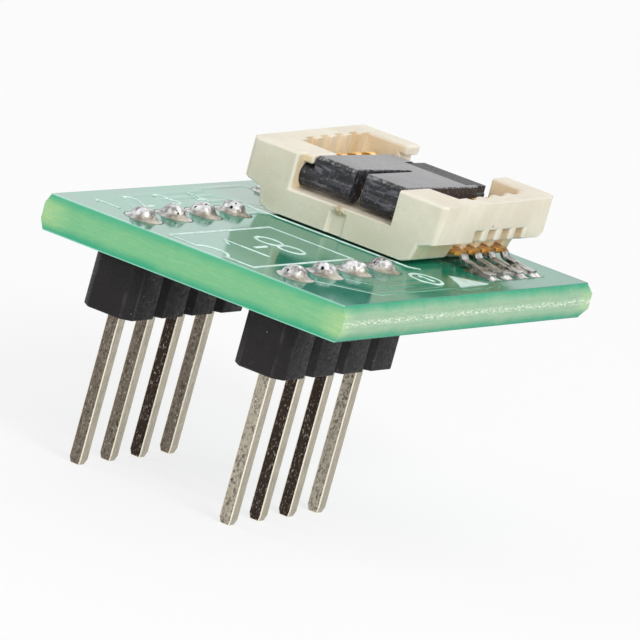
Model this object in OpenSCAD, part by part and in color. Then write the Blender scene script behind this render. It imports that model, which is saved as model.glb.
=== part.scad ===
// Chip test socket on a small adapter board with two four-pin headers.
// The origin is under the middle of the board, level with the pin ends. +Y runs from the
// pin headers towards the socket, and +Z points up.

/* [Board] */
// Thickness of the finished board
board_t = 1.6; // [1.2:0.1:2.4]
// Board left outside the contact pads, at the nearer long edge
side_margin = 1.07; // [0.4:0.01:3]
// Board left behind the socket
back_margin = 0.65; // [0.5:0.05:3]
// Distance from the last pins to the front of the socket
socket_gap = 2.33; // [1.4:0.01:6]
// Thickness of each solder mask layer and of the pads in it
mask_t = 0.05; // [0.03:0.01:0.08]
// How far the score line cuts into each long edge
score_in = 0.2; // [0.05:0.01:0.3]
// How far the score line cuts into the back edge
back_score_in = 0.3; // [0.1:0.02:0.4]
// Height of each sloped flank of the score line
score_h = 0.4; // [0.2:0.05:0.45]

/* [Pin headers] */
// Distance between the two pin rows
row_spacing = 7.62; // [7:0.02:8.4]
// Distance between neighbouring pins in a row
pin_pitch = 2.54; // [2.3:0.02:2.6]
// Distance from the front edge of the board to the first pins
first_pin_inset = 1.9; // [1.5:0.05:2.3]
// Side of the square pin
pin_w = 0.6; // [0.5:0.02:0.66]
// Length of the pin below its insulator
pin_reach = 6.8; // [4:0.1:9]
// Length of the taper at each pin end
pin_taper_l = 0.28; // [0.2:0.02:0.3]
// Width of the flat at each pin end
pin_end_w = 0.44; // [0.3:0.02:0.5]
// Pin length above the board
pin_stub = 0.3; // [0.2:0.02:0.34]
// Height of the header insulator
insulator_h = 2.54; // [2:0.02:3.5]
// Width of the header insulator
insulator_w = 2.5; // [2:0.05:2.6]
// Half width of the notch between two insulator positions
insulator_notch = 0.43; // [0.2:0.01:0.6]
// Height of the stepped rim on top of the insulator
insulator_step_h = 0.16; // [0.08:0.02:0.3]
// How far the stepped rim is set in
insulator_step_in = 0.14; // [0.06:0.02:0.3]
// Gap round a pin in its insulator
pin_gap = 0.01; // [0:0.005:0.03]

/* [Holes and solder] */
// Gap between the corners of a pin and its plated hole
hole_play = 0.05; // [0.02:0.01:0.1]
// Thickness of the hole plating
plating_t = 0.05; // [0.03:0.01:0.08]
// Diameter of the round pad
pad_d = 1.65; // [1.5:0.05:1.9]
// Gap between a pad and the solder mask round it
mask_gap = 0.05; // [0.03:0.01:0.08]
// Height of the solder mound over the board
solder_h = 0.46; // [0.44:0.01:0.7]
// Length of a contact pad
smd_pad_l = 1.6; // [1.5:0.05:1.8]
// Width of a contact pad
smd_pad_w = 0.9; // [0.88:0.02:1]
// Thickness of solder under a contact foot
solder_film = 0.03; // [0.01:0.01:0.06]
// Width of the solder at each side of a contact foot
solder_side = 0.14; // [0.06:0.01:0.14]

/* [Chip] */
// Length of the chip, between its two rows of pads
chip_l = 8; // [7.8:0.05:8.4]
// Width of the chip, along its rows of pads
chip_w = 6; // [5.8:0.05:6.4]
// Height of the chip
chip_h = 0.8; // [0.7:0.05:0.85]
// Play between the chip and the pocket walls
chip_play = 0.05; // [0.02:0.01:0.15]

/* [Socket housing] */
// Sideways place of the socket from the middle of the board
socket_x = -0.1; // [-0.4:0.05:0.4]
// Gap between the housing and the board
seat_gap = 0.12; // [0.05:0.01:0.2]
// Height of the housing at its hinge side
housing_h = 2.86; // [2.75:0.01:3.1]
// Rise of the top edge from the pocket to the back
housing_rise = 0.22; // [0:0.02:0.3]
// Radius of the upright housing corners
corner_r = 0.4; // [0.2:0.02:0.5]
// Thickness of the end walls
end_wall = 0.93; // [0.85:0.01:1.1]
// Thickness of the back wall
back_wall = 1.2; // [0.9:0.05:1.3]
// Depth of the hinge block in front of the pocket
hinge_block = 2.7; // [2.6:0.05:3.1]
// Height of the pocket floor over the board
floor_z = 1.3; // [1.25:0.01:1.35]
// Height of the front window sill over the board
sill_z = 1.37; // [1.35:0.01:1.45]
// Height of the back window sill over the board
back_sill_z = 1.75; // [1.6:0.05:1.9]
// Width of the back window
back_window_w = 4.64; // [4.2:0.02:5]
// Lean of the end walls between the top and the lip
end_lean = 0.12; // [0.05:0.01:0.2]
// Height of the end wall lip over the board
lip_z = 1.25; // [1.2:0.01:1.3]
// Depth of the undercut below the lip
undercut_in = 0.81; // [0.7:0.01:0.9]
// Height of the undercut below the lip
undercut_h = 0.28; // [0.2:0.02:0.3]
// Taper of each side of the base
base_taper = 0.2; // [0.1:0.01:0.3]
// Setback of the base from the back of the housing
base_setback = 1.1; // [0.9:0.01:1.3]
// Radius of the lower back corner of the end walls
heel_r = 0.7; // [0.4:0.05:0.9]
// Gap between the front tongue and the side of the lid
tongue_side_gap = 0.12; // [0.06:0.01:0.2]
// Gap between the front tongue and the hinge rod
tongue_gap = 0.06; // [0.04:0.01:0.1]
// Setback of the front tongue from the front wall
tongue_setback = 0.6; // [0.5:0.02:0.9]
// Reach of the back tab into the back window
back_tab_reach = 0.3; // [0.2:0.02:0.4]
// Height of the back tab
back_tab_h = 0.48; // [0.3:0.02:0.6]
// Width of the shallow channel in the front wall
channel_w = 0.6; // [0.4:0.02:0.9]
// Depth of the shallow channel in the front wall
channel_in = 0.12; // [0.06:0.02:0.2]
// Width of a groove in the end wall, one per contact
groove_w = 0.78; // [0.6:0.02:0.8]
// Depth of a groove in the end wall
groove_in = 0.25; // [0.15:0.01:0.3]
// Height of the outer notch under each groove
notch_h = 0.48; // [0.4:0.02:0.6]

/* [Contacts] */
// Distance between neighbouring contacts
contact_pitch = 1.27; // [1.2:0.01:1.35]
// Thickness of the contact strip
strip_t = 0.18; // [0.12:0.01:0.2]
// Width of the soldered tail
tail_w = 0.58; // [0.45:0.01:0.6]
// Width of the shoulder that holds the contact in the base
shoulder_w = 1; // [0.8:0.01:1]
// Width of the spring arm
arm_w = 0.5; // [0.4:0.01:0.55]
// Reach of the shoulder past the pocket wall
shoulder_out = 0.22; // [0.18:0.01:0.3]
// Length of the flat foot
foot_l = 0.45; // [0.35:0.01:0.6]
// Height of the shoulder over the board, at the middle of the strip
shoulder_z = 0.56; // [0.54:0.01:0.6]
// Length of the gently sloping tail behind the foot
tail_run = 0.95; // [0.8:0.01:1.05]
// Slope of the tail behind the foot, in degrees
tail_slope = 10; // [6:1:11]
// Slope of the neck between tail and shoulder, in degrees
neck_slope = 58; // [50:1:62]
// Length of the shoulder
shoulder_l = 0.98; // [0.9:0.02:1.1]
// Bend radius of the tail
tail_bend_r = 0.2; // [0.15:0.01:0.22]
// Bend radius of the spring arm
arm_bend_r = 0.35; // [0.25:0.01:0.4]
// Length of the rising part of the spring arm
arm_rise_l = 1.25; // [1.2:0.01:1.4]
// Gap at each side of a contact in the housing
contact_gap = 0.02; // [0.01:0.005:0.04]

/* [Lid] */
// Sideways place of the lid from the middle of the socket
lid_x = 0.26; // [0.2:0.01:0.32]
// Width of the lid
lid_w = 4.52; // [4:0.02:5]
// Gap between the lid and the nearer side of the front window
lid_side_gap = 0.06; // [0.04:0.01:0.12]
// Radius of the hinge rod
rod_r = 0.5; // [0.4:0.01:0.52]
// Gap between the hinge rod and the sill under it
rod_gap = 0.13; // [0.08:0.01:0.2]
// Distance of the hinge from the front of the housing
hinge_in = 1.05; // [1.02:0.01:1.2]
// Half length of the hinge rod, from the middle of the socket to each end
rod_reach = 3.2; // [3:0.05:3.4]
// Radial clearance of the hinge rod in its bearings
hinge_clear = 0.04; // [0.02:0.01:0.08]
// Setback of the lid's front face from the front of the rod
lid_face_in = 0.07; // [0:0.01:0.15]
// Height of the lid's front edge over the hinge
lid_rise = 1.03; // [0.95:0.01:1.1]
// Fall of the lid's top towards the back, in degrees
lid_fall = 1.3; // [0:0.1:2]
// Gap between the back of the lid and the pocket wall
lid_back_gap = 1.4; // [1.2:0.05:1.7]
// Thickness of the lid's pressing ribs
rib_h = 0.18; // [0.1:0.01:0.25]
// Width of a pressing rib
rib_w = 0.5; // [0.3:0.05:0.8]
// Width of the slot between the hinge arms, at the front
slot_w = 0.58; // [0.4:0.02:0.7]
// Width of the slot at its round end
slot_end_w = 0.2; // [0.1:0.02:0.3]
// Distance of the slot's end from the back of the lid
slot_stop = 2.4; // [2:0.1:3]
// Width of the finger tab
tab_w = 3.2; // [2.6:0.1:3.5]
// Sideways place of the finger tab from the middle of the lid
tab_x = 0.45; // [0.3:0.01:0.5]
// Length of the finger tab
tab_l = 1.95; // [1.6:0.05:2.2]
// Gap between the finger tab and the pocket wall
tab_gap = 0.3; // [0.2:0.02:0.5]
// Depth of the finger tab below the lid's top
tab_in = 0.04; // [0.03:0.01:0.1]
// Thickness of the finger tab
tab_t = 0.42; // [0.3:0.02:0.5]
// Bevel on the lid's front top edge
lid_bevel = 0.1; // [0.05:0.01:0.15]

/* [Hidden] */

pins_per_row = 4;
contacts_per_side = 4;
cut = 1;
bend_step = 10;
// Solder mound from rim to top, as shares of its radius and height
mound = [[1, 0], [0.8, 0.13], [0.68, 0.36], [0.6, 0.6], [0.49, 0.8], [0.34, 0.93], [0.15, 1]];
pad_toe = 0.3;
$fn = 48;

// Heights of the board over the pin ends
board_z = pin_reach + insulator_h;
board_top = board_z + board_t;
core_t = board_t - 2 * mask_t;

// Pocket and housing, measured from the middle of the contacts
pocket_l = chip_l + 2 * chip_play;
pocket_w = chip_w + 2 * chip_play;
housing_w = pocket_l + 2 * end_wall;
front_y = -pocket_w / 2 - hinge_block;
back_y = pocket_w / 2 + back_wall;
top_z = seat_gap + housing_h;
lip_x = housing_w / 2 - end_lean;
base_x = lip_x - undercut_in;
foot_chamfer_x = 0.35;
foot_chamfer_z = 0.13;
channel_top_z = sill_z - 2 * channel_in;
gate_w = 0.3;

// Contacts are numbered along the left side and back along the right side
function contact_side(i) = i <= contacts_per_side ? -1 : 1;
function contact_place(i) = i <= contacts_per_side ? i - 1 : 2 * contacts_per_side - i;
function contact_y(i) = (contact_place(i) - (contacts_per_side - 1) / 2) * contact_pitch;
foot_z = solder_film + strip_t / 2;
bend_rise = 2 * tail_bend_r * (1 - cos(neck_slope));
neck_run = (shoulder_z - foot_z - bend_rise - tail_run * sin(tail_slope)) / sin(neck_slope);
bend_reach = 2 * tail_bend_r * sin(neck_slope);
tail_l = foot_l + bend_reach + tail_run * cos(tail_slope) + neck_run * cos(neck_slope);
shoulder_x = pocket_l / 2 + shoulder_out;
foot_reach = shoulder_x + tail_l;
arm_base_l = 0.35;
arm_lean = 100;
arm_curl = 135;
arm_tip_l = 0.25;
arm_x = shoulder_x - shoulder_l - arm_base_l - arm_bend_r - strip_t / 2;
arm_room = 0.1;

// The board is as wide and as long as the socket and the headers on it need
board_w = 2 * (foot_reach + pad_toe + abs(socket_x) + side_margin);
board_l = first_pin_inset + (pins_per_row - 1) * pin_pitch + socket_gap + back_y - front_y + back_margin;
face_w = board_w - 2 * score_in;
face_l = board_l - back_score_in;
socket_y = board_l / 2 - back_margin - back_y;

// Pins are numbered along the left row and back along the right row
pin_l = board_top + pin_stub;
first_pin_y = first_pin_inset - board_l / 2;
function pin_side(i) = i <= pins_per_row ? -1 : 1;
function pin_place(i) = i <= pins_per_row ? i - 1 : 2 * pins_per_row - i;
function pin_xy(i) = [pin_side(i) * row_spacing / 2, first_pin_y + pin_place(i) * pin_pitch];
hole_d = pin_w * sqrt(2) + 2 * hole_play;

// Hinge line and lid
front_window_w = 2 * (lid_x + lid_w / 2 + lid_side_gap);
tongue_x = lid_x - lid_w / 2 - tongue_side_gap;
hinge_y = front_y + hinge_in;
hinge_z = sill_z + rod_gap + rod_r;
lid_front_y = hinge_y - rod_r + lid_face_in;
lid_back_y = pocket_w / 2 - lid_back_gap;
lid_top_z = hinge_z + lid_rise;
rib_z = floor_z + chip_h + contact_gap;
plate_z = rib_z + rib_h;
lid_ledge_l = 0.75;
lid_ledge_h = 0.25;
rod_end_gap = 0.06;
rib_x = lid_w / 3;
rib_front_y = -pocket_w / 4;

module at_socket() {
    translate([socket_x, socket_y, board_top])
        children();
}

// Boxes given by their two corners
module span(low, high) {
    translate(low)
        cube(high - low);
}

module at_contacts(side) {
    for (i = [1:2 * contacts_per_side])
        if (contact_side(i) == side)
            translate([0, contact_y(i), 0])
                mirror([side > 0 ? 1 : 0, 0, 0])
                    children();
}

// Board

module board_outline(low, high) {
    corners = [for (side = [1, -1]) each [
        [side * face_w / 2, side > 0 ? low : high],
        [side * board_w / 2, side > 0 ? low + score_h : high - score_h],
        [side * board_w / 2, side > 0 ? high - score_h : low + score_h],
        [side * face_w / 2, side > 0 ? high : low]
    ]];
    polygon(corners);
}

module board_side_outline(low, high) {
    back = board_l / 2;
    polygon([
        [-back, low],
        [back - back_score_in, low],
        [back, low + score_h],
        [back, high - score_h],
        [back - back_score_in, high],
        [-back, high]
    ]);
}

module drill(d, z, depth) {
    for (i = [1:2 * pins_per_row])
        translate([pin_xy(i)[0], pin_xy(i)[1], z])
            cylinder(d = d, h = depth);
}

module board_core() {
    low = board_z + mask_t;
    color("darkseagreen")
        difference() {
            intersection() {
                translate([0, board_l / 2, 0])
                    rotate([90, 0, 0])
                        linear_extrude(board_l)
                            board_outline(low, low + core_t);
                translate([-board_w / 2, 0, 0])
                    rotate([90, 0, 90])
                        linear_extrude(board_w)
                            board_side_outline(low, low + core_t);
            }
            drill(hole_d + 2 * plating_t, board_z - cut, board_t + 2 * cut);
        }
}

module mask_sheet(z) {
    difference() {
        translate([-face_w / 2, -board_l / 2, z])
            cube([face_w, face_l, mask_t]);
        drill(pad_d + 2 * mask_gap, z - cut, mask_t + 2 * cut);
    }
}

module solder_mask_top() {
    color("seagreen")
        difference() {
            mask_sheet(board_top - mask_t);
            for (side = [-1, 1])
                contact_pads(side, mask_gap, cut);
        }
}

module solder_mask_bottom() {
    color("seagreen")
        mask_sheet(board_z);
}

module plated_hole() {
    rotate_extrude()
        polygon([
            [hole_d / 2, 0],
            [pad_d / 2, 0],
            [pad_d / 2, mask_t],
            [hole_d / 2 + plating_t, mask_t],
            [hole_d / 2 + plating_t, board_t - mask_t],
            [pad_d / 2, board_t - mask_t],
            [pad_d / 2, board_t],
            [hole_d / 2, board_t]
        ]);
}

module plated_holes() {
    color("silver")
        for (i = [1:2 * pins_per_row])
            translate([pin_xy(i)[0], pin_xy(i)[1], board_z])
                plated_hole();
}

module contact_pads(side, grow = 0, over = 0) {
    toe_x = -foot_reach - pad_toe;
    color("silver")
        at_socket()
            at_contacts(side)
                span([toe_x - grow, -smd_pad_w / 2 - grow, -mask_t - over],
                    [toe_x + smd_pad_l + grow, smd_pad_w / 2 + grow, over]);
}

// Pin headers

module insulator_outline(inset) {
    half = insulator_w / 2 - inset;
    end_y = pins_per_row * pin_pitch;
    right = [for (i = [0:pins_per_row - 1]) each [
        [half - insulator_notch, i * pin_pitch + (i == 0 ? inset : 0)],
        [half, i * pin_pitch + insulator_notch + (i == 0 ? inset : 0)],
        [half, (i + 1) * pin_pitch - insulator_notch - (i == pins_per_row - 1 ? inset : 0)],
        [half - insulator_notch, (i + 1) * pin_pitch - (i == pins_per_row - 1 ? inset : 0)]
    ]];
    left = [for (p = right) [-p[0], end_y - p[1]]];
    translate([0, first_pin_y - pin_pitch / 2])
        polygon(concat(right, left));
}

module header_insulator(side) {
    color("dimgray")
        difference() {
            translate([side * row_spacing / 2, 0, pin_reach])
                union() {
                    linear_extrude(insulator_h - insulator_step_h)
                        insulator_outline(0);
                    linear_extrude(insulator_h)
                        insulator_outline(insulator_step_in);
                }
            for (i = [1:2 * pins_per_row])
                if (pin_side(i) == side)
                    translate([pin_xy(i)[0], pin_xy(i)[1], board_z / 2])
                        cube([pin_w + 2 * pin_gap, pin_w + 2 * pin_gap, board_z * 2], center = true);
        }
}

module pin_outline() {
    taper = [
        [pin_end_w / 2, 0],
        [pin_w / 2, pin_taper_l],
        [pin_w / 2, pin_l - pin_taper_l],
        [pin_end_w / 2, pin_l]
    ];
    back = [for (p = taper) [-p[0], pin_l - p[1]]];
    polygon(concat(taper, back));
}

module pin_taper(turn) {
    rotate([90, 0, turn])
        linear_extrude(2 * pin_w, center = true)
            pin_outline();
}

module pin_solid(i) {
    translate([pin_xy(i)[0], pin_xy(i)[1], 0])
        intersection() {
            pin_taper(0);
            pin_taper(90);
        }
}

module header_pin(i) {
    color("gainsboro")
        pin_solid(i);
}

// The solder fills the hole and stands over the pin end in a round mound with a flared rim

module pin_solder(i) {
    color("lightgray")
        difference() {
            translate([pin_xy(i)[0], pin_xy(i)[1], board_z])
                rotate_extrude()
                    polygon(concat(
                        [[0, 0], [hole_d / 2, 0], [hole_d / 2, board_t]],
                        [for (p = mound) [p[0] * pad_d / 2, board_t + p[1] * solder_h]],
                        [[0, board_t + solder_h]]
                    ));
            pin_solid(i);
        }
}

// Socket housing

module housing_front_outline() {
    side = [
        [base_x - base_taper - foot_chamfer_x, seat_gap],
        [base_x - base_taper, seat_gap + foot_chamfer_z],
        [base_x, lip_z - undercut_h],
        [lip_x, lip_z],
        [housing_w / 2, top_z],
        [housing_w / 2, top_z + cut]
    ];
    other = [for (k = [len(side) - 1:-1:0]) [-side[k][0], side[k][1]]];
    polygon(concat(side, other));
}

module housing_side_outline() {
    heel = [for (a = [0:bend_step:90]) [back_y - heel_r + heel_r * sin(a), lip_z + heel_r - heel_r * cos(a)]];
    polygon(concat(
        [[front_y, 0], [back_y - base_setback, 0], [back_y - base_setback, lip_z]],
        heel,
        [[back_y, top_z + housing_rise], [-pocket_w / 2, top_z], [front_y, top_z]]
    ));
}

module housing_plan() {
    translate([-housing_w / 2 + corner_r, front_y])
        square([housing_w - 2 * corner_r, back_y - front_y]);
    translate([-housing_w / 2, front_y + corner_r])
        square([housing_w, back_y - front_y - 2 * corner_r]);
    for (x = [-1, 1])
        for (y = [front_y + corner_r, back_y - corner_r])
            translate([x * (housing_w / 2 - corner_r), y])
                circle(corner_r);
}

module housing_block() {
    intersection() {
        translate([0, back_y, 0])
            rotate([90, 0, 0])
                linear_extrude(back_y - front_y)
                    housing_front_outline();
        translate([-housing_w / 2, 0, 0])
            rotate([90, 0, 90])
                linear_extrude(housing_w)
                    housing_side_outline();
        linear_extrude(2 * top_z)
            housing_plan();
    }
}

// The front window is open to the pocket, under a tongue that keeps the hinge rod down
module front_window() {
    difference() {
        span([-front_window_w / 2, front_y - cut, sill_z], [front_window_w / 2, 0, 2 * top_z]);
        span([-front_window_w / 2 - cut, front_y + tongue_setback, hinge_z + rod_r + tongue_gap],
            [tongue_x, -pocket_w / 2, 3 * top_z]);
    }
}

module back_window() {
    difference() {
        span([-back_window_w / 2, 0, back_sill_z], [back_window_w / 2, back_y + cut, 2 * top_z]);
        span([-back_window_w / 2 - cut, pocket_w / 2, top_z + housing_rise - back_tab_h],
            [-back_window_w / 2 + back_tab_reach, back_y + 2 * cut, 3 * top_z]);
    }
}

module rod_bearings() {
    translate([0, hinge_y, hinge_z])
        rotate([0, 90, 0])
            cylinder(r = rod_r + hinge_clear, h = 2 * (rod_reach + rod_end_gap), center = true);
}

// Room for one contact: slot through the floor, shoulder slot, end wall groove and outer notch
module contact_room() {
    shoulder_top = shoulder_z + strip_t / 2 + contact_gap;
    span([-pocket_l / 2 - groove_in, -groove_w / 2, 0], [-arm_x + arm_room, groove_w / 2, floor_z + cut]);
    span([-pocket_l / 2 - groove_in, -groove_w / 2, floor_z], [-pocket_l / 2 + cut, groove_w / 2, 2 * top_z]);
    span([-housing_w, -shoulder_w / 2 - contact_gap, 0],
        [-shoulder_x + shoulder_l + contact_gap, shoulder_w / 2 + contact_gap, shoulder_top]);
    span([-housing_w, -groove_w / 2, 0], [-pocket_l / 2 - groove_in / 2, groove_w / 2, lip_z + notch_h]);
}

module front_channel() {
    span([-channel_w / 2, front_y - cut, 0], [channel_w / 2, front_y + channel_in, channel_top_z]);
}

module gate_mark() {
    translate([-gate_w / 2, front_y, channel_top_z - channel_in])
        cube([gate_w, channel_in, channel_in]);
}

module socket_housing() {
    color("antiquewhite")
        at_socket()
            union() {
                difference() {
                    housing_block();
                    span([-pocket_l / 2, -pocket_w / 2, floor_z], [pocket_l / 2, pocket_w / 2, 2 * top_z]);
                    front_window();
                    back_window();
                    rod_bearings();
                    for (side = [-1, 1])
                        at_contacts(side)
                            contact_room();
                    front_channel();
                }
                gate_mark();
            }
}

// Contacts

// A strip bent step by step: each step is a straight run, then a bend to the left.
// The path lists points on the middle of the strip with the heading there.
function strip_path(steps, k = 0, p = [0, 0], a = 0) =
    k == len(steps) ? [] :
    let(
        q = p + steps[k][0] * [cos(a), sin(a)],
        turn = steps[k][1],
        reach = sign(turn) * steps[k][2],
        middle = q + reach * [-sin(a), cos(a)],
        parts = ceil(abs(turn) / bend_step),
        bend = [for (j = [1:1:parts]) let(b = a + turn * j / parts) [middle + reach * [sin(b), -cos(b)], b]],
        end = middle + reach * [sin(a + turn), -cos(a + turn)]
    )
    concat([[q, a]], bend, strip_path(steps, k + 1, end, a + turn));

module strip_outline(steps) {
    path = concat([[[0, 0], 0]], strip_path(steps));
    count = len(path);
    left = [for (s = path) s[0] + strip_t / 2 * [-sin(s[1]), cos(s[1])]];
    right = [for (s = path) s[0] - strip_t / 2 * [-sin(s[1]), cos(s[1])]];
    polygon(concat(right, [for (k = [count - 1:-1:0]) left[k]]));
}

module strip(steps, width, x, z) {
    translate([x, width / 2, z])
        rotate([90, 0, 0])
            linear_extrude(width)
                strip_outline(steps);
}

module contact_tail() {
    strip([
        [foot_l, tail_slope, tail_bend_r],
        [tail_run, neck_slope - tail_slope, tail_bend_r],
        [neck_run, -neck_slope, tail_bend_r],
        [shoulder_l / 2, 0, 0]
    ], tail_w, -foot_reach, foot_z);
}

module contact_spring() {
    strip([
        [shoulder_l + arm_base_l, arm_lean, arm_bend_r],
        [arm_rise_l, arm_curl, arm_bend_r],
        [arm_tip_l, 0, 0]
    ], arm_w, -shoulder_x, shoulder_z);
}

module contact_shoulder() {
    translate([-shoulder_x, -shoulder_w / 2, shoulder_z - strip_t / 2])
        cube([shoulder_l, shoulder_w, strip_t]);
}

module at_contact(i) {
    at_socket()
        translate([0, contact_y(i), 0])
            mirror([contact_side(i) > 0 ? 1 : 0, 0, 0])
                children();
}

module socket_contact(i) {
    color("goldenrod")
        at_contact(i)
            union() {
                contact_tail();
                contact_shoulder();
                contact_spring();
            }
}

// Solder round a contact foot, drawn up at its toe and heel
module foot_solder_outline() {
    toe_l = 0.2;
    heel_l = 0.5;
    foot_top = foot_z + strip_t / 2;
    heel_x = -foot_reach + foot_l;
    polygon([
        [-foot_reach - toe_l, 0],
        [heel_x + heel_l + toe_l, 0],
        [heel_x + heel_l, foot_top],
        [heel_x, foot_top - solder_film],
        [-foot_reach, foot_top - solder_film]
    ]);
}

module contact_solder(side) {
    width = tail_w + 2 * solder_side;
    color("lightgray")
        at_socket()
            at_contacts(side)
                difference() {
                    translate([0, width / 2, 0])
                        rotate([90, 0, 0])
                            linear_extrude(width)
                                foot_solder_outline();
                    contact_tail();
                }
}

// Lid

module lid_section() {
    top_back_z = lid_top_z - (lid_back_y - lid_front_y) * tan(lid_fall);
    polygon([
        [lid_front_y, hinge_z],
        [lid_front_y, lid_top_z - lid_bevel],
        [lid_front_y + lid_bevel, lid_top_z - lid_bevel * tan(lid_fall)],
        [lid_back_y, top_back_z],
        [lid_back_y, plate_z],
        [hinge_y + 2 * rod_r, plate_z],
        [hinge_y + rod_r / 2, hinge_z]
    ]);
}

module across(width) {
    translate([lid_x - width / 2, 0, 0])
        rotate([90, 0, 90])
            linear_extrude(width)
                children();
}

module at_lid_top() {
    translate([lid_x, lid_front_y, lid_top_z])
        rotate([-lid_fall, 0, 0])
            children();
}

module hinge_rod() {
    translate([0, hinge_y, hinge_z])
        rotate([0, 90, 0])
            cylinder(r = rod_r, h = 2 * rod_reach, center = true);
}

module lid_slot() {
    tip_y = lid_back_y - slot_stop;
    start_y = hinge_y - 2 * rod_r;
    translate([lid_x, 0, 0])
        linear_extrude(2 * lid_top_z) {
            polygon([
                [-slot_w / 2, start_y],
                [slot_w / 2, start_y],
                [slot_end_w / 2, tip_y],
                [-slot_end_w / 2, tip_y]
            ]);
            translate([0, tip_y])
                circle(d = slot_end_w);
        }
}

// The tab reaches past the back of the lid and lies a little below its top
module finger_tab(low, high) {
    tab_back_y = (pocket_w / 2 - tab_gap - lid_front_y) / cos(lid_fall);
    at_lid_top()
        span([tab_x - tab_w / 2, tab_back_y - tab_l, low], [tab_x + tab_w / 2, tab_back_y, high]);
}

module lid_ledge() {
    span([lid_x - lid_w / 2, lid_back_y - lid_ledge_l, plate_z],
        [lid_x + lid_w / 2, lid_back_y + lid_ledge_l, plate_z + lid_ledge_h]);
}

module pressing_ribs() {
    for (side = [-1, 1])
        translate([lid_x + side * rib_x - rib_w / 2, rib_front_y, rib_z])
            cube([rib_w, lid_back_y - rib_front_y, rib_h]);
}

module socket_lid() {
    color("darkslategray")
        at_socket()
            difference() {
                union() {
                    difference() {
                        across(lid_w)
                            lid_section();
                        finger_tab(-tab_in, cut);
                    }
                    hinge_rod();
                    finger_tab(-tab_in - tab_t, -tab_in);
                    lid_ledge();
                    pressing_ribs();
                }
                lid_slot();
            }
}

board_core();
solder_mask_top();
solder_mask_bottom();
plated_holes();
contact_pads(-1);  // contact_pads_left
contact_pads(1);  // contact_pads_right
header_insulator(-1);  // header_insulator_left
header_insulator(1);  // header_insulator_right
for (i = [1:2 * pins_per_row]) {
    header_pin(i);
    pin_solder(i);
}
socket_housing();
for (i = [1:2 * contacts_per_side])
    socket_contact(i);
contact_solder(-1);  // contact_solder_left
contact_solder(1);  // contact_solder_right
socket_lid();
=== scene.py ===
import math
import bmesh
import bpy
from mathutils import Matrix, Vector, noise


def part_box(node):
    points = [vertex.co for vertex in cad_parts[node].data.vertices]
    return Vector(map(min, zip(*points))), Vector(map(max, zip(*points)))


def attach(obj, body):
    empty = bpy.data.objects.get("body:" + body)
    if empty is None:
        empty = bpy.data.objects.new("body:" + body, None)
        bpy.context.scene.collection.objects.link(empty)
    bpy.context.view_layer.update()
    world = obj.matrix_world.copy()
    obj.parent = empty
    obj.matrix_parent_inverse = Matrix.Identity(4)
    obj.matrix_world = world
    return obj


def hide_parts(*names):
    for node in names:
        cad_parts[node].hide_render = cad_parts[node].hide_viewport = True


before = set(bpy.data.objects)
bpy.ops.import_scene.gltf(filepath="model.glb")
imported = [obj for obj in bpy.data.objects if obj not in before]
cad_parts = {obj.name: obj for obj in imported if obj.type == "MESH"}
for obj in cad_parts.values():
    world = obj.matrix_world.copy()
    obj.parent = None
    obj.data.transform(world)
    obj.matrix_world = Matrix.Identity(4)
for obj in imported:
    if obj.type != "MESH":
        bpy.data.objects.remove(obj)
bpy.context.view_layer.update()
mm = 0.001
touch = 0.01 * mm  # closer than this counts as the same place
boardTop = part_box("solder_mask_top")[1].z
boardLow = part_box("solder_mask_bottom")[0].z
socketLow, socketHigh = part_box("socket_housing")
socketX = (socketLow.x + socketHigh.x) / 2
print("frame loaded:", len(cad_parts), "nodes")


def paint(r, g, b):
    # screen colour 0 to 255 to the linear colour that a socket takes
    out = []
    for c in (r / 255, g / 255, b / 255):
        out.append(c / 12.92 if c <= 0.04045 else ((c + 0.055) / 1.055) ** 2.4)
    return (*out, 1.0)


def dimmed(colour, share):
    return tuple(c * share for c in colour[:3]) + (1.0,)


# small node helpers

mixSockets = (6, 7, 2)  # colour sockets of a mix node: first, second and result


def plug(value, socket):
    # a number or colour is set, an output is linked
    if isinstance(value, (int, float, tuple)):
        socket.default_value = value
    else:
        socket.id_data.links.new(value, socket)


def fill(node, settings):
    for label, value in settings.items():
        plug(value, node.inputs[label])


def newMaterial(name, metallic=0.0, ior=1.5):
    mat = bpy.data.materials.new(name)
    mat.use_nodes = True
    shader = mat.node_tree.nodes["Principled BSDF"]
    fill(shader, {"Metallic": metallic, "IOR": ior})
    return mat, mat.node_tree, shader


def add(tree, kind, **props):
    node = tree.nodes.new(kind)
    for key, value in props.items():
        setattr(node, key, value)
    return node


def coords(tree):
    return add(tree, "ShaderNodeTexCoord").outputs["Object"]


def painted(tree, name):
    # a value painted on the mesh, such as worn edges
    return add(tree, "ShaderNodeAttribute", attribute_name=name).outputs["Fac"]


def scaled(source, scale):
    node = add(source.id_data, "ShaderNodeMapping")
    fill(node, {"Vector": source, "Scale": scale})
    return node.outputs["Vector"]


def axes(source):
    node = add(source.id_data, "ShaderNodeSeparateXYZ")
    plug(source, node.inputs["Vector"])
    return node.outputs


def noiseTex(source, scale, detail=3.0, roughness=0.55):
    node = add(source.id_data, "ShaderNodeTexNoise")
    fill(node, {"Vector": source, "Scale": scale, "Detail": detail, "Roughness": roughness})
    return node.outputs["Fac"]


def stretchedNoise(source, stretch, *settings):
    # noises in the dictionaries below are stretch, scale, detail and roughness, some without the first
    return noiseTex(scaled(source, stretch), *settings)


def level(fac, low, high, outLow=0.0, outHigh=1.0):
    # the spans in the dictionaries below are these four numbers, or the first two
    node = add(fac.id_data, "ShaderNodeMapRange", clamp=True, interpolation_type="SMOOTHSTEP")
    fill(node, {"Value": fac, "From Min": low, "From Max": high, "To Min": outLow, "To Max": outHigh})
    return node.outputs["Result"]


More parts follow.
